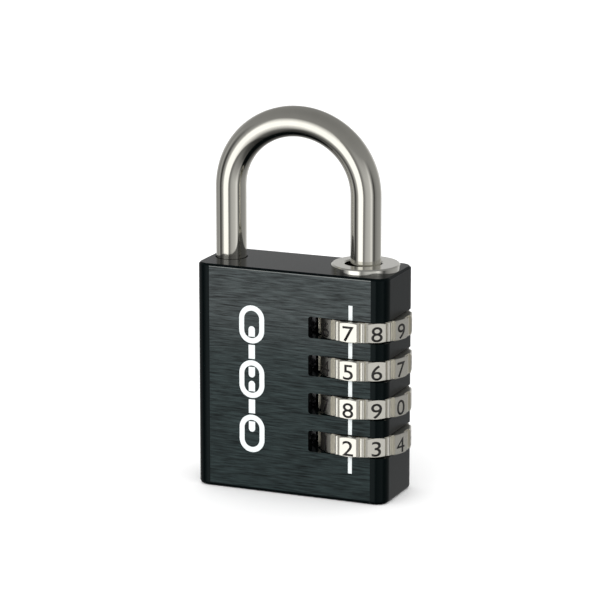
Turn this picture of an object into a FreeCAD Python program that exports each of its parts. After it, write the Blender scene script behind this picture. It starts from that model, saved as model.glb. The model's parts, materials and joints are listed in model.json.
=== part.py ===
import FreeCAD, Part
import os

import Sketcher

# Four-wheel combination padlock. The frame's origin is the centre of the body's bottom face,
# +X is to the right seen from the front, the front looks towards -Y and +Z is up.

SIZES = {
    # body block
    "body_width": 40.0,
    "body_depth": 15.6,
    "body_height": 45.0,
    "body_corner_radius": 2.5,
    "body_top_chamfer": 0.4,
    "body_bottom_radius": 0.8,
    # spindle, short leg and shackle bow
    "spindle_x": 12.8,
    "short_leg_x": -15.6,
    "wire_radius": 3.0,
    "bend_start_z": 59.2,
    "bend_radius": 13.5,
    "crown_radius": 14.6,
    "spindle_bottom_z": 7.2,
    "short_leg_insertion": 6.2,
    "short_leg_bore_radius": 3.2,
    "short_leg_bore_depth": 7.5,
    "leg_tip_chamfer": 0.7,
    # wheel slots
    "first_wheel_z": 11.5,
    "wheel_pitch": 7.6,
    "slot_radius": 11.75,
    "slot_height": 4.25,
    "slot_rim_radius": 0.45,
    # number wheels
    "wheel_radius": 9.16,
    "wheel_thickness": 3.95,
    "wheel_chamfer": 0.25,
    "wheel_bore_radius": 6.05,
    "pad_distance": 9.0,
    "pad_width": 3.45,
    "recess_floor_radius": 8.5,
    "recess_width": 2.2,
    "rib_radius": 0.73,
    "rib_top_radius": 8.9,
    "wheel_tooth_width": 1.2,
    "wheel_tooth_tip_radius": 5.35,
    # code sleeves
    "sleeve_radius": 5.95,
    "sleeve_bore_radius": 4.3,
    "sleeve_end_gap": 0.05,
    "web_thickness": 3.0,
    "running_bore_radius": 3.08,
    "notch_width": 1.7,
    "tooth_slot_width": 1.4,
    "tooth_slot_floor_radius": 5.25,
    "tooth_slot_height": 4.2,
    # fins of the long leg
    "fin_width": 1.4,
    "fin_reach": 4.1,
    "fin_height": 2.1,
    "fin_gap": 0.06,
    # spindle bore and what closes it
    "spindle_bore_radius": 6.0,
    "plug_recess": 0.3,
    "plug_thickness": 2.0,
    "plug_spigot_radius": 1.5,
    "plug_spigot_height": 1.5,
    "collar_flange_radius": 6.7,
    "collar_flange_thickness": 1.2,
    "collar_rim_chamfer": 0.25,
    "collar_bottom_z": 40.4,
    "collar_mouth_radius": 3.67,
    "collar_mouth_offset": 0.47,
    "collar_mouth_bottom_z": 42.4,
    "collar_pin_radius": 0.8,
    "collar_pin_z": 43.3,
    "collar_pin_inner_y": 4.7,
    "top_spacer_gap": 0.05,
    "thrust_washer_thickness": 0.9,
    "thrust_washer_bore_radius": 3.4,
    # springs
    "seat_radius": 2.7,
    "seat_thickness": 1.0,
    "seat_spigot_radius": 1.2,
    "seat_spigot_length": 3.0,
    "lift_coil_radius": 2.1,
    "lift_wire_radius": 0.25,
    "lift_coil_turns": 4.0,
    "reset_coil_radius": 5.1,
    "reset_wire_radius": 0.45,
    "reset_coil_turns": 3.0,
    # detent strip and its bore
    "detent_x": 2.5,
    "detent_bore_radius": 1.25,
    "detent_bore_top_z": 38.5,
    "strip_thickness": 0.35,
    "strip_width": 1.8,
    "strip_back_offset": 0.85,
    "strip_top_gap": 0.3,
    "finger_reach": 1.9,
    "finger_root_half": 1.8,
    "finger_tip_half": 0.5,
}

WHEELS = 4
DIGITS = 10
TURNS_PER_FACE = 1
SAMPLE_RADIUS = 10.0
SAME = 1e-4

doc = FreeCAD.newDocument("padlock")


def fill_sheet():
    """Write every driving dimension into the sheet, one row each, with its name as the alias."""
    sheet = doc.addObject("Spreadsheet::Sheet", "Size")
    for row, (name, value) in enumerate(SIZES.items(), start=1):
        sheet.set(f"A{row}", name)
        sheet.set(f"B{row}", str(value))
        sheet.setAlias(f"B{row}", name)
    doc.recompute()


def bind(target, bindings):
    """Bind properties of an object to formulas on the sheet's names."""
    for path, formula in bindings.items():
        target.setExpression(path, formula)


def place(piece, x="0", y="0", z="0"):
    """Bind a piece's position to formulas on the sheet's names."""
    bind(piece, {"Placement.Base.x": x, "Placement.Base.y": y, "Placement.Base.z": z})


def origin_feature(body, role):
    return next(item for item in body.Origin.OriginFeatures if item.Role == role)


def new_body(label):
    body = doc.addObject("PartDesign::Body", label)
    body.Label = label
    return body


def new_sketch(body, name, plane, offset_x="0", offset_z="0"):
    """Start a sketch on one of the body's own planes, moved along the sketch's x and its normal."""
    sketch = body.newObject("Sketcher::SketchObject", name)
    sketch.AttachmentSupport = [(origin_feature(body, plane), "")]
    sketch.MapMode = "FlatFace"
    bind(sketch, {"AttachmentOffset.Base.x": offset_x, "AttachmentOffset.Base.z": offset_z})
    return sketch


def pin_point(sketch, geometry, point, x, y):
    """Hold one point of a sketch at the distances x and y from the sketch's origin."""
    drawn = sketch.getPoint(geometry, point)
    for kind, formula, distance in (("DistanceX", x, drawn.x), ("DistanceY", y, drawn.y)):
        index = sketch.addConstraint(Sketcher.Constraint(kind, -1, 1, geometry, point, distance))
        sketch.setExpression(f"Constraints[{index}]", formula)


def draw_outline(sketch, corners):
    """Draw a closed chain of lines through corners that are given as pairs of formulas."""
    count = len(corners)
    rough = [FreeCAD.Vector(SAMPLE_RADIUS, 0, 0)]
    turn = FreeCAD.Rotation(FreeCAD.Vector(0, 0, 1), 360 / count)
    for _ in corners[1:]:
        rough.append(turn.multVec(rough[-1]))
    for index in range(count):
        line = Part.LineSegment(rough[index], rough[(index + 1) % count])
        sketch.addGeometry(line, False)
    for index in range(count):
        joined = (index + 1) % count
        sketch.addConstraint(Sketcher.Constraint("Coincident", index, 2, joined, 1))
    for index, (x, y) in enumerate(corners):
        pin_point(sketch, index, 1, x, y)


def draw_box(sketch, left, right, low, high):
    draw_outline(sketch, [(left, low), (right, low), (right, high), (left, high)])


def draw_circle(sketch, x, y, radius):
    circle = Part.Circle(FreeCAD.Vector(0, 0, 0), FreeCAD.Vector(0, 0, 1), SAMPLE_RADIUS)
    index = sketch.addGeometry(circle, False)
    pin_point(sketch, index, 3, x, y)
    size = sketch.addConstraint(Sketcher.Constraint("Radius", index, SAMPLE_RADIUS))
    sketch.setExpression(f"Constraints[{size}]", radius)


def pad(body, sketch, name, length, both_ways=False):
    feature = body.newObject("PartDesign::Pad", name)
    feature.Profile = sketch
    feature.Midplane = both_ways
    feature.setExpression("Length", length)
    return feature


def pocket(body, sketch, name, length, both_ways=False, along_normal=False):
    """Cut a sketch into the body, against the sketch's normal unless along_normal is set."""
    feature = body.newObject("PartDesign::Pocket", name)
    feature.Profile = sketch
    feature.Midplane = both_ways
    feature.Reversed = along_normal
    feature.setExpression("Length", length)
    return feature


def turn_profile(body, sketch, kind, name):
    """Turn a sketch round its own vertical axis, as a solid (Revolution) or a cut (Groove)."""
    feature = body.newObject("PartDesign::" + kind, name)
    feature.Profile = sketch
    feature.ReferenceAxis = (sketch, ["V_Axis"])
    feature.Angle = 360
    return feature


def repeat_round(body, features, name):
    """Repeat features round the body's Z axis, one for each digit."""
    pattern = body.newObject("PartDesign::PolarPattern", name)
    pattern.Originals = features
    pattern.Axis = (origin_feature(body, "Z_Axis"), [""])
    pattern.Angle = 360
    pattern.Occurrences = DIGITS
    body.Tip = pattern
    return pattern


def repeat_up(body, feature, name):
    """Repeat a feature up the body's Z axis, one for each wheel."""
    pattern = body.newObject("PartDesign::LinearPattern", name)
    pattern.Originals = [feature]
    pattern.Direction = (origin_feature(body, "Z_Axis"), [""])
    pattern.setExpression("Length", f"Size.wheel_pitch * {WHEELS - 1}")
    pattern.Occurrences = WHEELS
    body.Tip = pattern
    return pattern


def edge_names(shape, wanted):
    return [f"Edge{index}" for index, edge in enumerate(shape.Edges, start=1) if wanted(edge)]


def dress_edges(body, base, kind, name, wanted, formula):
    """Fillet or chamfer the edges of the base feature for which wanted is true."""
    doc.recompute()
    feature = body.newObject("PartDesign::" + kind, name)
    feature.Base = (base, edge_names(base.Shape, wanted))
    feature.setExpression("Radius" if kind == "Fillet" else "Size", formula)
    return feature


def lies_at(edge, z):
    """True for an edge that lies flat at this height."""
    return abs(edge.BoundBox.ZMin - z) < SAME and abs(edge.BoundBox.ZMax - z) < SAME


def is_upright(edge):
    return edge.BoundBox.XLength < SAME and edge.BoundBox.YLength < SAME


def is_circle_of(edge, radius):
    return isinstance(edge.Curve, Part.Circle) and abs(edge.Curve.Radius - radius) < SAME


def ring(label, outer, inner, thickness, z):
    """A plain ring on the spindle axis, cut from two cylinders."""
    disc = doc.addObject("Part::Cylinder", label + "_disc")
    hole = doc.addObject("Part::Cylinder", label + "_hole")
    bind(disc, {"Radius": outer, "Height": thickness})
    bind(hole, {"Radius": inner, "Height": thickness})
    cut = doc.addObject("Part::Cut", label)
    cut.Base = disc
    cut.Tool = hole
    cut.Label = label
    place(cut, x="Size.spindle_x", z=z)
    return cut


def coil(label, coil_radius, wire_radius, turns, low, high):
    """A round-wire coil spring on the spindle axis that fills the height from low to high."""
    path = doc.addObject("Part::Helix", label + "_path")
    path.SegmentLength = TURNS_PER_FACE
    bind(path, {
        "Radius": coil_radius,
        "Height": f"({high}) - ({low}) - 2 * {wire_radius}",
        "Pitch": f"(({high}) - ({low}) - 2 * {wire_radius}) / {turns}",
    })
    section = doc.addObject("Part::Circle", label + "_section")
    section.Placement.Rotation = FreeCAD.Rotation(FreeCAD.Vector(1, 0, 0), 90)
    bind(section, {"Radius": wire_radius, "Placement.Base.x": coil_radius})
    doc.recompute()
    spring = doc.addObject("Part::Sweep", label)
    spring.Sections = [section]
    spring.Spine = (path, [f"Edge{index + 1}" for index in range(len(path.Shape.Edges))])
    spring.Solid = True
    spring.Frenet = True
    spring.Label = label
    place(spring, x="Size.spindle_x", z=f"({low}) + {wire_radius}")
    return spring


def make_body_block():
    """The machined block: rounded outside, four disc-shaped slots and the bores."""
    body = new_body("body_block")
    outline = new_sketch(body, "block_outline", "XY_Plane")
    draw_box(outline, "-Size.body_width / 2", "Size.body_width / 2",
             "-Size.body_depth / 2", "Size.body_depth / 2")
    block = pad(body, outline, "block", "Size.body_height")
    corners = dress_edges(body, block, "Fillet", "upright_corners", is_upright,
                          "Size.body_corner_radius")
    top = dress_edges(body, corners, "Chamfer", "top_edge",
                      lambda edge: lies_at(edge, SIZES["body_height"]), "Size.body_top_chamfer")
    dress_edges(body, top, "Fillet", "bottom_edge", lambda edge: lies_at(edge, 0.0),
                "Size.body_bottom_radius")

    slot_profile = new_sketch(body, "slot_profile", "XZ_Plane", offset_x="Size.spindle_x")
    draw_box(slot_profile, "0", "Size.slot_radius",
             "Size.first_wheel_z - Size.slot_height / 2", "Size.first_wheel_z + Size.slot_height / 2")
    slot = turn_profile(body, slot_profile, "Groove", "slot")
    slots = repeat_up(body, slot, "slots")
    dress_edges(body, slots, "Fillet", "slot_rims",
                lambda edge: is_circle_of(edge, SIZES["slot_radius"]), "Size.slot_rim_radius")

    spindle_bore = new_sketch(body, "spindle_bore_circle", "XY_Plane", offset_z="Size.body_height")
    draw_circle(spindle_bore, "Size.spindle_x", "0", "Size.spindle_bore_radius")
    pocket(body, spindle_bore, "spindle_bore", "Size.body_height")

    leg_bore = new_sketch(body, "short_leg_circle", "XY_Plane", offset_z="Size.body_height")
    draw_circle(leg_bore, "Size.short_leg_x", "0", "Size.short_leg_bore_radius")
    pocket(body, leg_bore, "short_leg_bore", "Size.short_leg_bore_depth")

    detent_bore = new_sketch(body, "detent_bore_circle", "XY_Plane")
    draw_circle(detent_bore, "Size.detent_x", "0", "Size.detent_bore_radius")
    pocket(body, detent_bore, "detent_bore", "Size.detent_bore_top_z", along_normal=True)

    pin_bore = new_sketch(body, "pin_bore_circle", "XZ_Plane", offset_z="-Size.body_depth / 2")
    draw_circle(pin_bore, "Size.spindle_x", "Size.collar_pin_z", "Size.collar_pin_radius")
    pocket(body, pin_bore, "pin_bore", "Size.body_depth / 2 - Size.collar_pin_inner_y",
           along_normal=True)
    return body


def draw_bow(sketch):
    """Draw the shackle's centre line: two straight legs, two bends and a flatter crown."""
    left = SIZES["short_leg_x"]
    right = SIZES["spindle_x"]
    start = SIZES["bend_start_z"]
    bend = SIZES["bend_radius"]
    middle = (left + right) / 2
    up = FreeCAD.Vector(0, 0, 1)
    long_leg = Part.LineSegment(FreeCAD.Vector(right, 0, 0), FreeCAD.Vector(right, start, 0))
    right_round = Part.Circle(FreeCAD.Vector(right - bend, start, 0), up, bend)
    crown_round = Part.Circle(FreeCAD.Vector(middle, start, 0), up, SIZES["crown_radius"])
    left_round = Part.Circle(FreeCAD.Vector(left + bend, start, 0), up, bend)
    short_leg = Part.LineSegment(FreeCAD.Vector(left, start, 0), FreeCAD.Vector(left, 0, 0))
    right_bend = Part.ArcOfCircle(right_round, 0.0, 0.9)
    crown = Part.ArcOfCircle(crown_round, 0.9, 2.2)
    left_bend = Part.ArcOfCircle(left_round, 2.2, 3.14)
    sketch.addGeometry([long_leg, right_bend, crown, left_bend, short_leg], False)
    # each piece runs into the next one without a corner
    joins = [(0, 2, 1, 1), (1, 2, 2, 1), (2, 2, 3, 1), (3, 2, 4, 1)]
    for first, first_point, second, second_point in joins:
        sketch.addConstraint(Sketcher.Constraint("Tangent", first, first_point, second, second_point))
    for index, name in ((1, "bend_radius"), (3, "bend_radius"), (2, "crown_radius")):
        size = sketch.addConstraint(Sketcher.Constraint("Radius", index, SIZES[name]))
        sketch.setExpression(f"Constraints[{size}]", "Size." + name)
    pin_point(sketch, 0, 1, "Size.spindle_x", "Size.spindle_bottom_z")
    pin_point(sketch, 0, 2, "Size.spindle_x", "Size.bend_start_z")
    pin_point(sketch, 4, 1, "Size.short_leg_x", "Size.bend_start_z")
    pin_point(sketch, 4, 2, "Size.short_leg_x", "Size.body_height - Size.short_leg_insertion")


def make_shackle():
    """One bent wire; its long leg carries a fin for each code sleeve and a bore for the seat."""
    body = new_body("shackle")
    path = new_sketch(body, "bow_path", "XZ_Plane")
    draw_bow(path)
    section = new_sketch(body, "wire_section", "XY_Plane", offset_z="Size.spindle_bottom_z")
    draw_circle(section, "Size.spindle_x", "0", "Size.wire_radius")
    wire = body.newObject("PartDesign::AdditivePipe", "wire")
    wire.Profile = section
    wire.Spine = (path, [f"Edge{index}" for index in range(1, 6)])
    tip_z = SIZES["body_height"] - SIZES["short_leg_insertion"]
    dress_edges(body, wire, "Chamfer", "short_leg_tip", lambda edge: lies_at(edge, tip_z),
                "Size.leg_tip_chamfer")

    fin_outline = new_sketch(
        body, "fin_outline", "XY_Plane",
        offset_z="Size.first_wheel_z - Size.web_thickness / 2 - Size.fin_gap - Size.fin_height")
    draw_box(fin_outline, "Size.spindle_x - Size.fin_width / 2", "Size.spindle_x + Size.fin_width / 2",
             "-Size.fin_reach", "-Size.wire_radius / 2")
    fin = pad(body, fin_outline, "fin", "Size.fin_height")
    repeat_up(body, fin, "fins")

    seat_bore = new_sketch(body, "seat_bore_circle", "XY_Plane", offset_z="Size.spindle_bottom_z")
    draw_circle(seat_bore, "Size.spindle_x", "0", "Size.seat_spigot_radius")
    pocket(body, seat_bore, "seat_bore", "Size.seat_spigot_length", along_normal=True)
    return body


def make_collar():
    """Flanged bush: a wide mouth off the leg's axis, and a running bore that stops the top fin."""
    body = new_body("shackle_collar")
    profile = new_sketch(body, "collar_profile", "XZ_Plane")
    top = "Size.body_height + Size.collar_flange_thickness"
    draw_outline(profile, [
        ("Size.running_bore_radius", "Size.collar_bottom_z"),
        ("Size.spindle_bore_radius", "Size.collar_bottom_z"),
        ("Size.spindle_bore_radius", "Size.body_height"),
        ("Size.collar_flange_radius", "Size.body_height"),
        ("Size.collar_flange_radius", f"{top} - Size.collar_rim_chamfer"),
        ("Size.collar_flange_radius - Size.collar_rim_chamfer", top),
        ("Size.running_bore_radius", top),
    ])
    turn_profile(body, profile, "Revolution", "bush")
    mouth_circle = new_sketch(body, "collar_mouth_circle", "XY_Plane", offset_z=top)
    draw_circle(mouth_circle, "-Size.collar_mouth_offset", "0", "Size.collar_mouth_radius")
    mouth = pocket(body, mouth_circle, "collar_mouth", f"{top} - Size.collar_mouth_bottom_z")
    dress_edges(body, mouth, "Chamfer", "collar_mouth_edge",
                lambda edge: is_circle_of(edge, SIZES["collar_mouth_radius"])
                and lies_at(edge, SIZES["body_height"] + SIZES["collar_flange_thickness"]),
                "Size.collar_rim_chamfer")
    pin_bore = new_sketch(body, "collar_pin_circle", "XZ_Plane", offset_z="-Size.spindle_bore_radius")
    draw_circle(pin_bore, "0", "Size.collar_pin_z", "Size.collar_pin_radius")
    pocket(body, pin_bore, "collar_pin_bore", "Size.spindle_bore_radius - Size.collar_pin_inner_y",
           along_normal=True)
    place(body, x="Size.spindle_x")
    return body


def make_collar_pin():
    """Cross pin, pressed in from the back face."""
    pin = doc.addObject("Part::Cylinder", "collar_pin")
    pin.Label = "collar_pin"
    pin.Placement.Rotation = FreeCAD.Rotation(FreeCAD.Vector(1, 0, 0), -90)
    bind(pin, {
        "Radius": "Size.collar_pin_radius",
        "Height": "Size.body_depth / 2 - Size.collar_pin_inner_y",
    })
    place(pin, x="Size.spindle_x", y="Size.collar_pin_inner_y", z="Size.collar_pin_z")
    return pin


def wheel_height(index):
    """The formula for the height of the middle of a wheel; wheel 0 is the lowest."""
    return f"Size.first_wheel_z + Size.wheel_pitch * {index}"


def make_number_wheel(index):
    """Ring with ten flat pads, a rounded rib in the recess between two pads, and inner teeth."""
    label = f"number_wheel_{index + 1}"
    body = new_body(label)
    half = "Size.wheel_thickness / 2"
    profile = new_sketch(body, label + "_profile", "XZ_Plane")
    draw_outline(profile, [
        ("Size.wheel_bore_radius", f"-{half}"),
        ("Size.wheel_radius - Size.wheel_chamfer", f"-{half}"),
        ("Size.wheel_radius", f"-{half} + Size.wheel_chamfer"),
        ("Size.wheel_radius", f"{half} - Size.wheel_chamfer"),
        ("Size.wheel_radius - Size.wheel_chamfer", half),
        ("Size.wheel_bore_radius", half),
    ])
    turn_profile(body, profile, "Revolution", label + "_ring")

    flat_outline = new_sketch(body, label + "_flat_outline", "XY_Plane")
    draw_box(flat_outline, "-Size.pad_width / 2", "Size.pad_width / 2",
             "-Size.wheel_radius - 1", "-Size.pad_distance")
    flat = pocket(body, flat_outline, label + "_flat", "Size.wheel_thickness", both_ways=True)

    recess_outline = new_sketch(body, label + "_recess_outline", "XY_Plane")
    recess_outline.AttachmentOffset.Rotation = FreeCAD.Rotation(
        FreeCAD.Vector(0, 0, 1), 180 / DIGITS)
    draw_box(recess_outline, "-Size.recess_width / 2", "Size.recess_width / 2",
             "-Size.wheel_radius - 1", "-Size.recess_floor_radius")
    recess = pocket(body, recess_outline, label + "_recess", "Size.wheel_thickness", both_ways=True)

    rib_circle = new_sketch(body, label + "_rib_circle", "XY_Plane")
    rib_circle.AttachmentOffset.Rotation = FreeCAD.Rotation(FreeCAD.Vector(0, 0, 1), 180 / DIGITS)
    draw_circle(rib_circle, "0", "Size.rib_radius - Size.rib_top_radius", "Size.rib_radius")
    rib = pad(body, rib_circle, label + "_rib", "Size.wheel_thickness - Size.wheel_chamfer",
              both_ways=True)

    tooth_outline = new_sketch(body, label + "_tooth_outline", "XY_Plane")
    draw_box(tooth_outline, "-Size.wheel_tooth_width / 2", "Size.wheel_tooth_width / 2",
             "-Size.wheel_bore_radius - 0.5", "-Size.wheel_tooth_tip_radius")
    tooth = pad(body, tooth_outline, label + "_tooth", "Size.wheel_thickness", both_ways=True)

    repeat_round(body, [flat, recess, rib, tooth], label + "_rim")
    place(body, x="Size.spindle_x", z=wheel_height(index))
    return body


def make_code_sleeve(index):
    """Sleeve with a notched inner web for the fin and ten outer slots for the wheel's teeth."""
    label = f"code_sleeve_{index + 1}"
    body = new_body(label)
    end = "(Size.wheel_pitch / 2 - Size.sleeve_end_gap)"
    web = "(Size.web_thickness / 2)"
    profile = new_sketch(body, label + "_profile", "XZ_Plane")
    draw_outline(profile, [
        ("Size.sleeve_bore_radius", f"-{end}"),
        ("Size.sleeve_radius", f"-{end}"),
        ("Size.sleeve_radius", end),
        ("Size.sleeve_bore_radius", end),
        ("Size.sleeve_bore_radius", web),
        ("Size.running_bore_radius", web),
        ("Size.running_bore_radius", f"-{web}"),
        ("Size.sleeve_bore_radius", f"-{web}"),
    ])
    turn_profile(body, profile, "Revolution", label + "_tube")

    notch_outline = new_sketch(body, label + "_notch_outline", "XY_Plane")
    draw_box(notch_outline, "-Size.notch_width / 2", "Size.notch_width / 2",
             "-Size.sleeve_bore_radius", "0")
    pocket(body, notch_outline, label + "_notch", "Size.web_thickness", both_ways=True)

    slot_outline = new_sketch(body, label + "_slot_outline", "XY_Plane")
    draw_box(slot_outline, "-Size.tooth_slot_width / 2", "Size.tooth_slot_width / 2",
             "-Size.sleeve_radius - 1", "-Size.tooth_slot_floor_radius")
    slot = pocket(body, slot_outline, label + "_slot", "Size.tooth_slot_height", both_ways=True)
    repeat_round(body, [slot], label + "_slots")
    place(body, x="Size.spindle_x", z=wheel_height(index))
    return body


def make_base_plug():
    """Disc pressed into the bottom of the spindle bore, with a spigot for the lift spring."""
    body = new_body("base_plug")
    profile = new_sketch(body, "plug_profile", "XZ_Plane")
    draw_outline(profile, [
        ("0", "0"),
        ("Size.spindle_bore_radius", "0"),
        ("Size.spindle_bore_radius", "Size.plug_thickness"),
        ("Size.plug_spigot_radius", "Size.plug_thickness"),
        ("Size.plug_spigot_radius", "Size.plug_thickness + Size.plug_spigot_height"),
        ("0", "Size.plug_thickness + Size.plug_spigot_height"),
    ])
    turn_profile(body, profile, "Revolution", "plug_disc")
    place(body, x="Size.spindle_x", z="Size.plug_recess")
    return body


def make_spring_seat():
    """Cap on the end of the long leg; its spigot is pressed into the leg."""
    body = new_body("spring_seat")
    profile = new_sketch(body, "seat_profile", "XZ_Plane")
    draw_outline(profile, [
        ("0", "-Size.seat_thickness"),
        ("Size.seat_radius", "-Size.seat_thickness"),
        ("Size.seat_radius", "0"),
        ("Size.seat_spigot_radius", "0"),
        ("Size.seat_spigot_radius", "Size.seat_spigot_length"),
        ("0", "Size.seat_spigot_length"),
    ])
    turn_profile(body, profile, "Revolution", "seat_disc")
    place(body, x="Size.spindle_x", z="Size.spindle_bottom_z")
    return body


def make_detent_strip():
    """Spring strip in its own bore, with one bowed finger for each wheel."""
    body = new_body("detent_strip")
    back = "(Size.detent_x - Size.strip_back_offset)"
    front = f"({back} + Size.strip_thickness)"
    low = "Size.plug_recess + Size.plug_thickness"
    strip_outline = new_sketch(body, "strip_outline", "XZ_Plane")
    draw_box(strip_outline, back, front, low, "Size.detent_bore_top_z - Size.strip_top_gap")
    pad(body, strip_outline, "strip", "Size.strip_width", both_ways=True)

    finger_outline = new_sketch(body, "finger_outline", "XZ_Plane")
    tip = f"({back} + Size.finger_reach)"
    inner_root = "(Size.finger_root_half - Size.strip_thickness * 1.5)"
    inner_tip = "(Size.finger_tip_half - Size.strip_thickness / 2)"
    draw_outline(finger_outline, [
        (front, "Size.first_wheel_z - Size.finger_root_half"),
        (tip, "Size.first_wheel_z - Size.finger_tip_half"),
        (tip, "Size.first_wheel_z + Size.finger_tip_half"),
        (front, "Size.first_wheel_z + Size.finger_root_half"),
        (front, f"Size.first_wheel_z + {inner_root}"),
        (f"{tip} - Size.strip_thickness", f"Size.first_wheel_z + {inner_tip}"),
        (f"{tip} - Size.strip_thickness", f"Size.first_wheel_z - {inner_tip}"),
        (front, f"Size.first_wheel_z - {inner_root}"),
    ])
    finger = pad(body, finger_outline, "finger", "Size.strip_width", both_ways=True)
    repeat_up(body, finger, "fingers")
    return body


def make_detent_plug():
    """Short pin that closes the detent bore."""
    plug = doc.addObject("Part::Cylinder", "detent_plug")
    plug.Label = "detent_plug"
    bind(plug, {"Radius": "Size.detent_bore_radius", "Height": "Size.plug_thickness"})
    place(plug, x="Size.detent_x", z="Size.plug_recess")
    return plug


def make_rings():
    """The washer under the stack of sleeves and the spacer above it."""
    stack_low = "(Size.first_wheel_z - Size.wheel_pitch / 2)"
    stack_high = f"({wheel_height(WHEELS - 1)} + Size.wheel_pitch / 2 + Size.top_spacer_gap)"
    washer = ring("thrust_washer", "Size.sleeve_radius", "Size.thrust_washer_bore_radius",
                  "Size.thrust_washer_thickness", f"{stack_low} - Size.thrust_washer_thickness")
    spacer = ring("top_spacer", "Size.sleeve_radius", "Size.sleeve_bore_radius",
                  f"Size.collar_bottom_z - {stack_high}", stack_high)
    return [washer, spacer]


def make_springs():
    """The lift spring under the long leg and the reset spring round it."""
    plug_top = "Size.plug_recess + Size.plug_thickness"
    lift = coil("lift_spring", "Size.lift_coil_radius", "Size.lift_wire_radius",
                "Size.lift_coil_turns", plug_top, "Size.spindle_bottom_z - Size.seat_thickness")
    reset = coil("reset_spring", "Size.reset_coil_radius", "Size.reset_wire_radius",
                 "Size.reset_coil_turns", plug_top,
                 "Size.first_wheel_z - Size.wheel_pitch / 2 - Size.thrust_washer_thickness")
    return [lift, reset]


def check_document():
    """Stop if any object failed or if a cut took nothing away."""
    for item in doc.Objects:
        if "Invalid" in item.State or "Error" in item.State:
            raise RuntimeError(f"{item.Name} failed: {item.State}")
        if item.TypeId in ("PartDesign::Pocket", "PartDesign::Groove"):
            if item.Shape.Volume >= item.BaseFeature.Shape.Volume - SAME:
                raise RuntimeError(f"{item.Name} cuts nothing")


def write_pieces(pieces):
    """Check each piece's shape and write it to its own file."""
    os.makedirs("parts", exist_ok=True)
    for piece in pieces:
        shape = piece.Shape
        if shape.isNull() or not shape.isValid() or len(shape.Solids) != 1:
            raise RuntimeError(f"{piece.Label} has no single valid solid")
        shape.exportStep(f"parts/{piece.Label}.step")
        print(f"{piece.Label}: {shape.Volume:.1f} mm3")


fill_sheet()
pieces = [
    make_body_block(),
    make_shackle(),
    make_collar(),
    make_collar_pin(),
    make_base_plug(),
    make_spring_seat(),
    make_detent_strip(),
    make_detent_plug(),
]
pieces += make_rings()
pieces += make_springs()
for wheel in range(WHEELS):
    pieces.append(make_number_wheel(wheel))
    pieces.append(make_code_sleeve(wheel))
doc.recompute()
check_document()
write_pieces(pieces)
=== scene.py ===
import json
import math

import bmesh
import bpy
from mathutils import Matrix, Vector


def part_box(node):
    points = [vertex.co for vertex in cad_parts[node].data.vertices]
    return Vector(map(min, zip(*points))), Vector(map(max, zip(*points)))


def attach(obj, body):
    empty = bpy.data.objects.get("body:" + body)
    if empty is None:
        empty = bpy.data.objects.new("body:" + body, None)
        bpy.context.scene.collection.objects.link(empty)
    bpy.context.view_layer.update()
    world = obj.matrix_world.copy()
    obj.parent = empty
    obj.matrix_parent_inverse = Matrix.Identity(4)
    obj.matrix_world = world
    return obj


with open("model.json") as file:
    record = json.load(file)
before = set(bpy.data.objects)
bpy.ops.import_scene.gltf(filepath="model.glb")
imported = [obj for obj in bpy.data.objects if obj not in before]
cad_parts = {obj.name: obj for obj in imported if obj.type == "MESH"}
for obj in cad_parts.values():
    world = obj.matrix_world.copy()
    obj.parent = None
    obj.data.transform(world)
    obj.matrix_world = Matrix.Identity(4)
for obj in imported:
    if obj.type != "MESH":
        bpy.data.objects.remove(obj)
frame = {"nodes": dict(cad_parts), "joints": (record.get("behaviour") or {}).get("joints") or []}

nodes = frame["nodes"]
joints = {joint["name"]: joint for joint in frame["joints"]}
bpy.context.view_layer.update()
MM = 0.001


# ---------------------------------------------------------------------------------------------
# Body block. One machined aluminium block, black anodised. The front and back are brushed along
# their width before the anodising; the sides, the top and the slots are only fine-milled. The
# plugs that close its two bores underneath have the same finish.

BODY_BLACK = (0.0006, 0.0016, 0.0018, 1.0)
BODY_STREAK = (0.0110, 0.0230, 0.0235, 1.0)
# grey of the painted highlight along the top arris of the brushed faces
BODY_ARRIS_HIGHLIGHT = (0.30, 0.31, 0.30, 1.0)
ARRIS_WIDTH = 0.14 * MM
BODY_SHEEN = (0.83, 1.0, 1.0, 1.0)
BODY_IOR = 1.20
OXIDE_IOR = 1.70
OXIDE_ROUGHNESS = 0.24
BRUSH_LINES = (230.0, 1900.0, 3300.0)
BRUSH_CONTRAST = 2.4
BRUSHED_HALF_WIDTH = 16.95 * MM
FLAT_ENOUGH = 0.9995
TOP_CHAMFER = 0.4 * MM
BODY_PIECES = ("body_block", "base_plug", "detent_plug")
# the brushed faces end where the chamfer round the top begins
ARRIS_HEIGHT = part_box("body_block")[1].z - TOP_CHAMFER


def new_material(name):
    """A material with an empty tree, its shader and the shader's output."""
    material = bpy.data.materials.new(name)
    material.use_nodes = True
    tree = material.node_tree
    tree.nodes.clear()
    output = tree.nodes.new("ShaderNodeOutputMaterial")
    shader = tree.nodes.new("ShaderNodeBsdfPrincipled")
    tree.links.new(shader.outputs["BSDF"], output.inputs["Surface"])
    return material, tree, shader


def add(tree, kind, settings=None, values=None, links=None):
    """Add a node: its own settings, then fixed values and links for its inputs."""
    made = tree.nodes.new(kind)
    for name, value in (settings or {}).items():
        setattr(made, name, value)
    for socket, value in (values or {}).items():
        made.inputs[socket].default_value = value
    for socket, source in (links or {}).items():
        tree.links.new(source, made.inputs[socket])
    return made


def math_node(tree, operation, first, second=0.0, third=None):
    """A Math node; each operand is a number or an output socket."""
    made = tree.nodes.new("ShaderNodeMath")
    made.operation = operation
    operands = [first, second] if third is None else [first, second, third]
    for index, operand in enumerate(operands):
        if isinstance(operand, (int, float)):
            made.inputs[index].default_value = operand
        else:
            tree.links.new(operand, made.inputs[index])
    return made.outputs[0]


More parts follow.
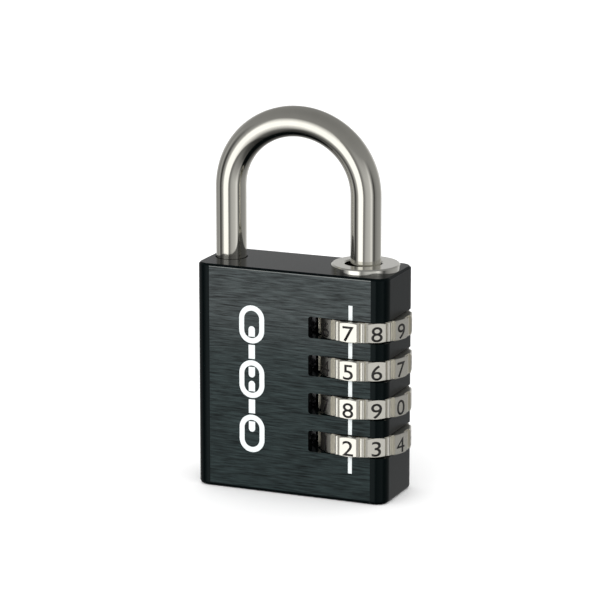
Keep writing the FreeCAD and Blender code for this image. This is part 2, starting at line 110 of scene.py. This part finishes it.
def ramp(tree, source, stops):
    """A colour ramp through grey or coloured stops, each a place and a value."""
    made = tree.nodes.new("ShaderNodeValToRGB")
    elements = made.color_ramp.elements
    while len(elements) < len(stops):
        elements.new(0.5)
    for element, (place, value) in zip(elements, stops):
        element.position = place
        element.color = value if isinstance(value, tuple) else (value, value, value, 1.0)
    tree.links.new(source, made.inputs["Fac"])
    return made.outputs["Color"]


def mix_colour(tree, factor, first, second):
    """Mix two colours or colour sockets by a factor socket."""
    made = tree.nodes.new("ShaderNodeMix")
    made.data_type = "RGBA"
    tree.links.new(factor, made.inputs["Factor"])
    for name, value in (("A", first), ("B", second)):
        socket = next(s for s in made.inputs if s.name == name and s.type == "RGBA")
        if isinstance(value, tuple):
            socket.default_value = value
        else:
            tree.links.new(value, socket)
    return next(s for s in made.outputs if s.type == "RGBA")


def new_group(name, inputs, outputs):
    """A shader node group with named number inputs (and their defaults) and outputs."""
    group = bpy.data.node_groups.new(name, "ShaderNodeTree")
    for label, kind, default in inputs:
        socket = group.interface.new_socket(name=label, in_out="INPUT", socket_type=kind)
        socket.default_value = default
    for label, kind in outputs:
        group.interface.new_socket(name=label, in_out="OUTPUT", socket_type=kind)
    return group, group.nodes.new("NodeGroupInput"), group.nodes.new("NodeGroupOutput")


def use_group(tree, group, values):
    """Place a node group in a material with its own values."""
    made = tree.nodes.new("ShaderNodeGroup")
    made.node_tree = group
    for name, value in values.items():
        made.inputs[name].default_value = value
    return made


def make_streaks_group():
    """Fine parallel lines such as brushing or drawing leaves. Lines per metre goes across them."""
    group, given, result = new_group(
        "fine_streaks",
        [("Lines per Metre", "NodeSocketVector", (200.0, 3000.0, 3000.0)),
         ("Contrast", "NodeSocketFloat", 0.5)],
        [("Streaks", "NodeSocketFloat"), ("Patches", "NodeSocketFloat")])
    place = add(group, "ShaderNodeTexCoord")
    stretched = add(group, "ShaderNodeVectorMath", {"operation": "MULTIPLY"}, None, {
        0: place.outputs["Object"], 1: given.outputs["Lines per Metre"]})
    lines = add(group, "ShaderNodeTexNoise", None, {"Scale": 1.0, "Detail": 3.0, "Roughness": 0.6},
                {"Vector": stretched.outputs["Vector"]})
    patches = add(group, "ShaderNodeTexNoise", None, {"Scale": 0.16, "Detail": 2.0},
                  {"Vector": stretched.outputs["Vector"]})
    spread = math_node(group, "SUBTRACT", lines.outputs["Fac"], 0.5)
    strong = math_node(group, "MULTIPLY", spread, given.outputs["Contrast"])
    streaks = math_node(group, "ADD", strong, 0.5)
    bounded = add(group, "ShaderNodeClamp", None, None, {"Value": streaks})
    group.links.new(bounded.outputs["Result"], result.inputs["Streaks"])
    group.links.new(patches.outputs["Fac"], result.inputs["Patches"])
    return group


fine_streaks = make_streaks_group()


def make_anodised_black():
    material, tree, shader = new_material("anodised_black")
    shader.inputs["IOR"].default_value = BODY_IOR
    shader.inputs["Coat Roughness"].default_value = OXIDE_ROUGHNESS
    shader.inputs["Coat IOR"].default_value = OXIDE_IOR
    shader.inputs["Specular Tint"].default_value = BODY_SHEEN
    grain = use_group(tree, fine_streaks, {
        "Lines per Metre": BRUSH_LINES, "Contrast": BRUSH_CONTRAST})
    # the brushing shows only on faces that look to the front or the back. On them the coat is weaker
    # towards the base, a painted shade that stands in for the shadowed floor these faces mirror low
    # down
    surface = add(tree, "ShaderNodeNewGeometry")
    facing = add(tree, "ShaderNodeSeparateXYZ", None, None, {0: surface.outputs["True Normal"]})
    across = math_node(tree, "ABSOLUTE", facing.outputs["Y"])
    sideways = math_node(tree, "ABSOLUTE", facing.outputs["X"])
    place = add(tree, "ShaderNodeTexCoord")
    where = add(tree, "ShaderNodeSeparateXYZ", None, None, {0: place.outputs["Object"]})
    # the brushing ends a little short of the rounded corners
    from_middle = math_node(tree, "ABSOLUTE", where.outputs["X"])
    within = math_node(tree, "LESS_THAN", from_middle, BRUSHED_HALF_WIDTH)
    brushed = math_node(tree, "MULTIPLY", within, math_node(tree, "GREATER_THAN", across, FLAT_ENOUGH))
    streaks = math_node(tree, "MULTIPLY", grain.outputs["Streaks"], brushed)

    milled = add(tree, "ShaderNodeTexNoise", None, {"Scale": 9000.0, "Detail": 2.0},
                 {"Vector": place.outputs["Object"]})
    # a painted highlight along the upper arris of each brushed face, standing in for a tiny bevel
    # there that mirrors the light
    near_top = math_node(tree, "GREATER_THAN", where.outputs["Z"], ARRIS_HEIGHT - ARRIS_WIDTH)
    arris = math_node(tree, "MULTIPLY", near_top, brushed)
    arris_highlight_mask = math_node(tree, "MULTIPLY", arris, grain.outputs["Patches"])

    rise = math_node(tree, "MULTIPLY", where.outputs["Z"], 1.0 / ARRIS_HEIGHT)
    # painted shade: the coat on the front and back fades towards the base
    front_shade_fade = ramp(tree, rise, [(0.0, 0.20), (0.5, 0.32), (0.62, 0.42), (0.82, 0.85), (1.0, 0.85)])
    on_streaks = math_node(tree, "MULTIPLY_ADD", grain.outputs["Streaks"], 0.85, 0.27)
    on_front = math_node(tree, "MULTIPLY", math_node(tree, "MULTIPLY", on_streaks, front_shade_fade), brushed)
    # on the sides it is the other way round: they shine a little, and more towards the base
    on_side = ramp(tree, rise, [(0.0, 0.11), (0.35, 0.06), (0.8, 0.0)])
    side_flat = math_node(tree, "GREATER_THAN", sideways, FLAT_ENOUGH)
    oxide = math_node(tree, "MULTIPLY_ADD", on_side, side_flat, on_front)
    tree.links.new(oxide, shader.inputs["Coat Weight"])

    colour = mix_colour(tree, streaks, BODY_BLACK, BODY_STREAK)
    # the painted arris highlight is mixed into the base colour here
    tree.links.new(mix_colour(tree, arris_highlight_mask, colour, BODY_ARRIS_HIGHLIGHT), shader.inputs["Base Color"])
    # the brushing is coarser towards the base, and handling leaves broad uneven patches
    worn_brush = math_node(tree, "MULTIPLY_ADD", where.outputs["Z"], -0.30 / ARRIS_HEIGHT, 0.30)
    handled = add(tree, "ShaderNodeTexNoise", None, {"Scale": 45.0, "Detail": 1.0},
                  {"Vector": place.outputs["Object"]})
    uneven = math_node(tree, "MULTIPLY_ADD", handled.outputs["Fac"], 0.30, worn_brush)
    rough_brushed = math_node(tree, "MULTIPLY_ADD", grain.outputs["Patches"], 0.20, uneven)
    # the sides are milled with a coarser cutter than the top
    side_cut = math_node(tree, "MULTIPLY_ADD", sideways, 0.14, 0.10)
    rough_milled = math_node(tree, "MULTIPLY_ADD", milled.outputs["Fac"], 0.12, side_cut)
    blend = tree.nodes.new("ShaderNodeMix")
    tree.links.new(brushed, blend.inputs["Factor"])
    tree.links.new(rough_milled, blend.inputs["A"])
    tree.links.new(rough_brushed, blend.inputs["B"])
    tree.links.new(blend.outputs["Result"], shader.inputs["Roughness"])

    relief = math_node(tree, "MULTIPLY_ADD", milled.outputs["Fac"], 0.06, streaks)
    bump = add(tree, "ShaderNodeBump", None, {"Strength": 1.0, "Distance": 0.00007},
               {"Height": relief})
    tree.links.new(bump.outputs["Normal"], shader.inputs["Normal"])
    return material


anodised_black = make_anodised_black()
for name in BODY_PIECES:
    nodes[name].material_slots[0].material = anodised_black


# ---------------------------------------------------------------------------------------------
# Index line and front mark. White paint printed on the front face. The line runs down the middle
# of the wheels and stops at the slots; the mark is a plain column of chain links.

PAINT_WHITE = (0.70, 0.74, 0.74, 1.0)
PAINT_THICKNESS = 0.02 * MM
LINE_WIDTH = 0.80 * MM
LINE_ENDS = (5.9 * MM, 39.35 * MM)
SLOT_HALF_HEIGHT = 2.125 * MM
LINE_GAP = 0.05 * MM
WHEEL_COUNT = 4

LINK_COLUMN_X = -7.9 * MM
LINK_COLUMN_Z = (7.9 * MM, 37.5 * MM)
LINK_COUNT = 3
LINK_WIDTH = 5.3 * MM
LINK_HALF_HEIGHT = 3.8 * MM
LINK_STROKE = 1.05 * MM
LINK_EDGE_WIDTH = 1.35 * MM
LINK_END_LENGTH = 2.1 * MM
LINK_GAP = 0.3 * MM
ROUND_STEPS = 20

front_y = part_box("body_block")[0].y
spindle_x = joints["wheel_1_turn"]["pos_m"][0]
wheel_heights = [joints[f"wheel_{number}_turn"]["pos_m"][2]
                 for number in range(1, WHEEL_COUNT + 1)]


def make_paint(name, colour, roughness):
    material, tree, shader = new_material(name)
    place = add(tree, "ShaderNodeTexCoord")
    cloud = add(tree, "ShaderNodeTexNoise", None, {"Scale": 2500.0, "Detail": 3.0},
                {"Vector": place.outputs["Object"]})
    dim = tuple(part * 0.9 for part in colour[:3]) + (1.0,)
    tree.links.new(mix_colour(tree, cloud.outputs["Fac"], colour, dim), shader.inputs["Base Color"])
    tree.links.new(math_node(tree, "MULTIPLY_ADD", cloud.outputs["Fac"], 0.2, roughness),
                   shader.inputs["Roughness"])
    bump = add(tree, "ShaderNodeBump", None, {"Strength": 0.3, "Distance": 0.00001},
               {"Height": cloud.outputs["Fac"]})
    tree.links.new(bump.outputs["Normal"], shader.inputs["Normal"])
    return material


white_paint = make_paint("white_paint", PAINT_WHITE, 0.35)


def link_mesh(name, mesh_builder, material, body):
    """Turn a filled bmesh into a piece with a material that rides on a body."""
    mesh = bpy.data.meshes.new(name)
    mesh_builder.to_mesh(mesh)
    mesh_builder.free()
    piece = bpy.data.objects.new(name, mesh)
    bpy.context.scene.collection.objects.link(piece)
    mesh.materials.append(material)
    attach(piece, body)
    return piece


def add_flat_band(builder, outer, inner=None):
    """Add a thin printed shape: an outline in x and z, or the band between two outlines."""
    back = front_y + PAINT_THICKNESS / 2
    face = front_y - PAINT_THICKNESS
    rings = []
    for outline in (outer, inner):
        if outline is None:
            continue
        for depth in (face, back):
            rings.append([builder.verts.new((x, depth, z)) for x, z in outline])
    count = len(outer)
    if inner is None:
        builder.faces.new(rings[0])
        builder.faces.new(rings[1][::-1])
        walls = [(rings[1], rings[0])]
    else:
        outer_face, outer_back, inner_face, inner_back = rings
        walls = [(outer_back, outer_face), (inner_face, inner_back),
                 (outer_face, inner_face), (inner_back, outer_back)]
    for first, second in walls:
        for index in range(count):
            after = (index + 1) % count
            builder.faces.new((first[index], first[after], second[after], second[index]))


def box_outline(left, right, low, high):
    """The corners of an upright rectangle."""
    return [(left, low), (right, low), (right, high), (left, high)]


def link_outline(x, z, half_width, half_height):
    """A stadium shape standing upright round (x, z)."""
    straight = half_height - half_width
    points = []
    for step in range(ROUND_STEPS):
        angle = math.pi * step / (ROUND_STEPS - 1)
        points.append((x + half_width * math.cos(angle), z + straight + half_width * math.sin(angle)))
    for step in range(ROUND_STEPS):
        angle = math.pi * (1 + step / (ROUND_STEPS - 1))
        points.append((x + half_width * math.cos(angle), z - straight + half_width * math.sin(angle)))
    return points


def link_end_outline(z, way):
    """The end of a link seen on edge: cut square at z, rounded where it points, up or down."""
    half = LINK_EDGE_WIDTH / 2
    tip = z + way * (LINK_END_LENGTH - half)
    points = [(LINK_COLUMN_X + half, z)]
    for step in range(ROUND_STEPS):
        angle = math.pi * step / (ROUND_STEPS - 1)
        points.append((LINK_COLUMN_X + half * math.cos(angle), tip + way * half * math.sin(angle)))
    points.append((LINK_COLUMN_X - half, z))
    return points


def make_index_line():
    builder = bmesh.new()
    left = spindle_x - LINE_WIDTH / 2
    right = spindle_x + LINE_WIDTH / 2
    reach = SLOT_HALF_HEIGHT + LINE_GAP
    lows = [LINE_ENDS[0]] + [height + reach for height in wheel_heights]
    highs = [height - reach for height in wheel_heights] + [LINE_ENDS[1]]
    for low, high in zip(lows, highs):
        add_flat_band(builder, box_outline(left, right, low, high))
    return link_mesh("index_line", builder, white_paint, "case")


def make_front_mark():
    """Open links seen flat, and between them the links that are seen on edge."""
    builder = bmesh.new()
    low, high = LINK_COLUMN_Z
    pitch = (high - low - 2 * LINK_HALF_HEIGHT) / (LINK_COUNT - 1)
    middles = [low + LINK_HALF_HEIGHT + pitch * index for index in range(LINK_COUNT)]
    for middle in middles:
        outer = link_outline(LINK_COLUMN_X, middle, LINK_WIDTH / 2, LINK_HALF_HEIGHT)
        inner = link_outline(LINK_COLUMN_X, middle, LINK_WIDTH / 2 - LINK_STROKE,
                             LINK_HALF_HEIGHT - LINK_STROKE)
        add_flat_band(builder, outer, inner)
    left = LINK_COLUMN_X - LINK_EDGE_WIDTH / 2
    right = LINK_COLUMN_X + LINK_EDGE_WIDTH / 2
    beyond = LINK_HALF_HEIGHT + LINK_GAP
    within = LINK_HALF_HEIGHT - LINK_STROKE - LINK_GAP
    for lower, upper in zip(middles, middles[1:]):
        add_flat_band(builder, box_outline(left, right, lower + beyond, upper - beyond))
        add_flat_band(builder, link_end_outline(lower + within, -1))
        add_flat_band(builder, link_end_outline(upper - within, 1))
    return link_mesh("front_mark", builder, white_paint, "case")


make_index_line()
make_front_mark()


# ---------------------------------------------------------------------------------------------
# Shackle, collar and the pins that hold them. Steel, nickel plated and polished. The wire keeps
# faint drawing lines along its legs; the collar is turned, so its rings run round the leg.

NICKEL_LIGHT = (0.80, 0.785, 0.720, 1.0)
NICKEL_DARK = (0.70, 0.682, 0.615, 1.0)
COLLAR_LIGHT = (0.94, 0.93, 0.87, 1.0)
COLLAR_DARK = (0.78, 0.765, 0.70, 1.0)


def make_bright_nickel():
    material, tree, shader = new_material("bright_nickel")
    shader.inputs["Metallic"].default_value = 1.0
    drawn = use_group(tree, fine_streaks, {
        "Lines per Metre": (1800.0, 1800.0, 60.0), "Contrast": 1.4})
    colour = mix_colour(tree, drawn.outputs["Patches"], NICKEL_LIGHT, NICKEL_DARK)
    tree.links.new(colour, shader.inputs["Base Color"])
    tree.links.new(math_node(tree, "MULTIPLY_ADD", drawn.outputs["Patches"], 0.10, 0.03),
                   shader.inputs["Roughness"])
    bump = add(tree, "ShaderNodeBump", None, {"Strength": 0.12, "Distance": 0.00001},
               {"Height": drawn.outputs["Streaks"]})
    tree.links.new(bump.outputs["Normal"], shader.inputs["Normal"])
    return material


def make_turned_nickel():
    material, tree, shader = new_material("turned_nickel")
    shader.inputs["Metallic"].default_value = 1.0
    place = add(tree, "ShaderNodeTexCoord")
    from_axis = add(tree, "ShaderNodeVectorMath", {"operation": "SUBTRACT"},
                    {1: (spindle_x, 0.0, 0.0)}, {0: place.outputs["Object"]})
    flat = add(tree, "ShaderNodeVectorMath", {"operation": "MULTIPLY"},
               {1: (1.0, 1.0, 0.0)}, {0: from_axis.outputs["Vector"]})
    radius = add(tree, "ShaderNodeVectorMath", {"operation": "LENGTH"}, None,
                 {0: flat.outputs["Vector"]})
    rings = add(tree, "ShaderNodeTexNoise", {"noise_dimensions": "1D"},
                {"Scale": 9000.0, "Detail": 2.0}, {"W": radius.outputs["Value"]})
    tree.links.new(mix_colour(tree, rings.outputs["Fac"], COLLAR_LIGHT, COLLAR_DARK),
                   shader.inputs["Base Color"])
    tree.links.new(math_node(tree, "MULTIPLY_ADD", rings.outputs["Fac"], 0.14, 0.08),
                   shader.inputs["Roughness"])
    bump = add(tree, "ShaderNodeBump", None, {"Strength": 0.35, "Distance": 0.00001},
               {"Height": rings.outputs["Fac"]})
    tree.links.new(bump.outputs["Normal"], shader.inputs["Normal"])
    return material


bright_nickel = make_bright_nickel()
turned_nickel = make_turned_nickel()
nodes["shackle"].material_slots[0].material = bright_nickel
for name in ("shackle_collar", "collar_pin", "spring_seat"):
    nodes[name].material_slots[0].material = turned_nickel


# ---------------------------------------------------------------------------------------------
# Number wheels. Each is a nickel-plated ring with ten flat pads. The plate is satin, with a fine
# grain on the pads; the digits are engraved and filled with black paint.

WHEEL_LIGHT = (0.98, 0.96, 0.88, 1.0)
WHEEL_DARK = (0.80, 0.775, 0.69, 1.0)
DIGIT_BLACK = (0.012, 0.011, 0.010, 1.0)
DIGIT_COUNT = 10
PAD_DISTANCE = 9.0 * MM
DIGIT_HEIGHT = 3.0 * MM
DIGIT_WIDENING = 1.2
DIGIT_BOLDNESS = 0.005
NARROW_DIGIT = 4
DIGIT_DROP = 0.26 * MM
DIGIT_PROUD = 0.012 * MM
DIGIT_SINK = 0.02 * MM
# the digit at the index line on each wheel, the lowest wheel first
SHOWN_DIGITS = (2, 8, 5, 7)


def make_satin_nickel():
    material, tree, shader = new_material("satin_nickel")
    shader.inputs["Metallic"].default_value = 1.0
    place = add(tree, "ShaderNodeTexCoord")
    grain = add(tree, "ShaderNodeTexNoise", None, {"Scale": 7000.0, "Detail": 4.0, "Roughness": 0.7},
                {"Vector": place.outputs["Object"]})
    turned = use_group(tree, fine_streaks, {
        "Lines per Metre": (120.0, 120.0, 5200.0), "Contrast": 1.2})
    colour = mix_colour(tree, grain.outputs["Fac"], WHEEL_DARK, WHEEL_LIGHT)
    tree.links.new(colour, shader.inputs["Base Color"])
    tree.links.new(math_node(tree, "MULTIPLY_ADD", grain.outputs["Fac"], 0.20, 0.20),
                   shader.inputs["Roughness"])
    relief = math_node(tree, "MULTIPLY_ADD", turned.outputs["Streaks"], 0.3,
                       grain.outputs["Fac"])
    bump = add(tree, "ShaderNodeBump", None, {"Strength": 0.35, "Distance": 0.00001},
               {"Height": relief})
    tree.links.new(bump.outputs["Normal"], shader.inputs["Normal"])
    return material


def digit_shape(digit):
    """One digit as a mesh, upright in x and z, its height DIGIT_HEIGHT, round the origin."""
    curve = bpy.data.curves.new(f"digit_{digit}", "FONT")
    curve.body = str(digit)
    curve.resolution_u = 6
    # bolder strokes would close the narrow opening of the 4
    curve.offset = 0.0 if digit == NARROW_DIGIT else DIGIT_BOLDNESS
    holder = bpy.data.objects.new(f"digit_{digit}", curve)
    bpy.context.scene.collection.objects.link(holder)
    bpy.context.view_layer.update()
    flat = bpy.data.meshes.new_from_object(holder.evaluated_get(
        bpy.context.evaluated_depsgraph_get()))
    bpy.data.objects.remove(holder)
    xs = [vertex.co.x for vertex in flat.vertices]
    ys = [vertex.co.y for vertex in flat.vertices]
    middle = Vector(((min(xs) + max(xs)) / 2, (min(ys) + max(ys)) / 2, 0.0))
    size = DIGIT_HEIGHT / (max(ys) - min(ys))
    upright = Matrix.Rotation(math.pi / 2, 4, "X")
    widen = Matrix.Diagonal((size * DIGIT_WIDENING, size, size, 1.0))
    flat.transform(upright @ widen @ Matrix.Translation(-middle))
    return flat


def make_digits(number, shapes):
    """All ten digits of one wheel as a thin skin of paint on its pads."""
    builder = bmesh.new()
    shown = SHOWN_DIGITS[number - 1]
    middle = Vector(joints[f"wheel_{number}_turn"]["pos_m"])
    for step in range(DIGIT_COUNT):
        shape = shapes[(shown + step) % DIGIT_COUNT].copy()
        on_pad = Matrix.Translation((0.0, -PAD_DISTANCE - DIGIT_PROUD, -DIGIT_DROP))
        round_axis = Matrix.Rotation(math.radians(360.0 / DIGIT_COUNT * step), 4, "Z")
        shape.transform(Matrix.Translation(middle) @ round_axis @ on_pad)
        before = set(builder.faces)
        builder.from_mesh(shape)
        fresh = [face for face in builder.faces if face not in before]
        inward = round_axis.to_3x3() @ Vector((0.0, DIGIT_PROUD + DIGIT_SINK, 0.0))
        grown = bmesh.ops.extrude_face_region(builder, geom=fresh, use_keep_orig=True)
        moved = [item for item in grown["geom"] if isinstance(item, bmesh.types.BMVert)]
        bmesh.ops.translate(builder, verts=moved, vec=inward)
    bmesh.ops.recalc_face_normals(builder, faces=builder.faces)
    return link_mesh(f"digits_{number}", builder, digit_black, f"dial_{number}")


satin_nickel = make_satin_nickel()
digit_black = make_paint("digit_black", DIGIT_BLACK, 0.3)
digit_shapes = [digit_shape(digit) for digit in range(DIGIT_COUNT)]
for number in range(1, WHEEL_COUNT + 1):
    nodes[f"number_wheel_{number}"].material_slots[0].material = satin_nickel
    make_digits(number, digit_shapes)


# ---------------------------------------------------------------------------------------------
# Parts inside the spindle bore. The code sleeves and the spacer are turned brass; the springs,
# the washer and the detent strip are spring steel, grey and a little oily.

BRASS_LIGHT = (0.78, 0.58, 0.27, 1.0)
BRASS_DARK = (0.62, 0.44, 0.19, 1.0)
STEEL_LIGHT = (0.46, 0.46, 0.47, 1.0)
STEEL_DARK = (0.28, 0.28, 0.30, 1.0)
BRASS_PIECES = ("code_sleeve_1", "code_sleeve_2", "code_sleeve_3", "code_sleeve_4", "top_spacer")
STEEL_PIECES = ("lift_spring", "reset_spring", "thrust_washer", "detent_strip")


def make_machined_metal(name, light, dark, roughness):
    material, tree, shader = new_material(name)
    shader.inputs["Metallic"].default_value = 1.0
    cuts = use_group(tree, fine_streaks, {
        "Lines per Metre": (300.0, 300.0, 4500.0), "Contrast": 1.6})
    tree.links.new(mix_colour(tree, cuts.outputs["Patches"], light, dark),
                   shader.inputs["Base Color"])
    tree.links.new(math_node(tree, "MULTIPLY_ADD", cuts.outputs["Streaks"], 0.2, roughness),
                   shader.inputs["Roughness"])
    bump = add(tree, "ShaderNodeBump", None, {"Strength": 0.3, "Distance": 0.00001},
               {"Height": cuts.outputs["Streaks"]})
    tree.links.new(bump.outputs["Normal"], shader.inputs["Normal"])
    return material


turned_brass = make_machined_metal("turned_brass", BRASS_LIGHT, BRASS_DARK, 0.22)
spring_steel = make_machined_metal("spring_steel", STEEL_LIGHT, STEEL_DARK, 0.28)
for name in BRASS_PIECES:
    nodes[name].material_slots[0].material = turned_brass
for name in STEEL_PIECES:
    nodes[name].material_slots[0].material = spring_steel


# ---------------------------------------------------------------------------------------------
# Stage. A pale floor that the plated parts don't mirror, a soft studio round the lock, bright
# low on the left and dim above, and two soft lights that only fill.

CAMERA_AZIMUTH = math.radians(22.9)
CAMERA_ELEVATION = math.radians(13.46)
CAMERA_DISTANCE = 0.641
CAMERA_LENS = 196.75
CAMERA_AIM = Vector((-0.001, 0.0, 0.0375))
SENSOR_WIDTH = 36.0
FLOOR_WHITE = (0.93, 0.93, 0.93, 1.0)
FLOOR_SIZE = 6.0
STUDIO_STRENGTH = 2.5


def make_floor():
    bpy.ops.mesh.primitive_plane_add(size=FLOOR_SIZE, location=(0.0, 0.0, 0.0))
    floor = bpy.context.object
    floor.name = "floor"
    material, tree, shader = new_material("floor_white")
    shader.inputs["Base Color"].default_value = FLOOR_WHITE
    shader.inputs["Roughness"].default_value = 0.8
    floor.data.materials.append(material)
    floor.visible_glossy = False
    floor.visible_shadow = False


def make_camera():
    camera_data = bpy.data.cameras.new("camera")
    camera_data.lens = CAMERA_LENS
    camera_data.sensor_width = SENSOR_WIDTH
    camera_data.clip_start = 0.01
    camera = bpy.data.objects.new("camera", camera_data)
    bpy.context.scene.collection.objects.link(camera)
    back = Vector((math.sin(CAMERA_AZIMUTH) * math.cos(CAMERA_ELEVATION),
                   -math.cos(CAMERA_AZIMUTH) * math.cos(CAMERA_ELEVATION),
                   math.sin(CAMERA_ELEVATION)))
    camera.location = CAMERA_AIM + back * CAMERA_DISTANCE
    camera.rotation_euler = back.to_track_quat("Z", "Y").to_euler()
    bpy.context.scene.camera = camera


def make_soft_light(name, come_from, spread, strength):
    """A very soft light that brightens paint and floor but isn't mirrored in the metal."""
    lamp = bpy.data.lights.new(name, "SUN")
    lamp.angle = math.radians(spread)
    lamp.energy = strength
    light = bpy.data.objects.new(name, lamp)
    bpy.context.scene.collection.objects.link(light)
    light.rotation_euler = Vector(come_from).to_track_quat("Z", "Y").to_euler()
    light.visible_glossy = False


def make_studio():
    """The surroundings that the metal mirrors: brightness round the horizon, then up and down."""
    world = bpy.data.worlds.new("studio")
    world.use_nodes = True
    bpy.context.scene.world = world
    tree = world.node_tree
    tree.nodes.clear()
    place = add(tree, "ShaderNodeTexCoord")
    way = add(tree, "ShaderNodeSeparateXYZ", None, None, {0: place.outputs["Generated"]})
    front = math_node(tree, "MULTIPLY", way.outputs["Y"], -1.0)
    turn = math_node(tree, "ARCTAN2", way.outputs["X"], front)
    # 0.5 is the side that the camera stands on, 0.25 a quarter turn to its left
    share = math_node(tree, "MULTIPLY_ADD", turn, 0.5 / math.pi,
                      0.5 - CAMERA_AZIMUTH * 0.5 / math.pi)
    wrapped = math_node(tree, "FRACT", share)
    around = ramp(tree, wrapped, [
        (0.00, 0.26), (0.08, 0.21), (0.16, 0.11), (0.215, 0.18), (0.245, 0.04), (0.270, 0.01),
        (0.290, 0.10), (0.325, 0.20), (0.345, 0.56), (0.432, 0.56), (0.442, 0.14),
        (0.458, 0.07), (0.478, 0.13), (0.500, 0.19), (0.580, 0.25), (0.615, 0.37),
        (0.645, 0.12), (0.670, 0.01), (0.700, 0.08), (0.750, 0.12), (0.850, 0.15), (0.900, 0.25),
        (1.00, 0.26)])
    height = math_node(tree, "MULTIPLY_ADD", way.outputs["Z"], 0.5, 0.5)
    side_share = ramp(tree, height, [
        (0.00, 0.0), (0.12, 0.08), (0.26, 0.6), (0.34, 1.0), (0.52, 1.0), (0.60, 0.7), (0.74, 0.0)])
    above = ramp(tree, height, [
        (0.0, 0.005), (0.12, 0.02), (0.30, 0.08), (0.6, 0.12), (0.9, 0.10), (1.0, 0.09)])
    side = mix_colour(tree, side_share, above, around)
    mirrored = add(tree, "ShaderNodeBackground", None, {"Strength": STUDIO_STRENGTH}, {"Color": side})
    seen = add(tree, "ShaderNodeBackground", None,
               {"Color": (1.0, 1.0, 1.0, 1.0), "Strength": 1.0})
    path = add(tree, "ShaderNodeLightPath")
    chosen = add(tree, "ShaderNodeMixShader", None, None, {
        0: path.outputs["Is Camera Ray"], 1: mirrored.outputs[0], 2: seen.outputs[0]})
    output = add(tree, "ShaderNodeOutputWorld")
    tree.links.new(chosen.outputs[0], output.inputs["Surface"])


bpy.context.scene.view_settings.view_transform = "Standard"
make_floor()
make_camera()
make_studio()
make_soft_light("overhead_light", (0.0, -0.15, 1.0), 150.0, 3.1)
make_soft_light("front_light", (0.1, -1.0, 0.35), 90.0, 1.2)
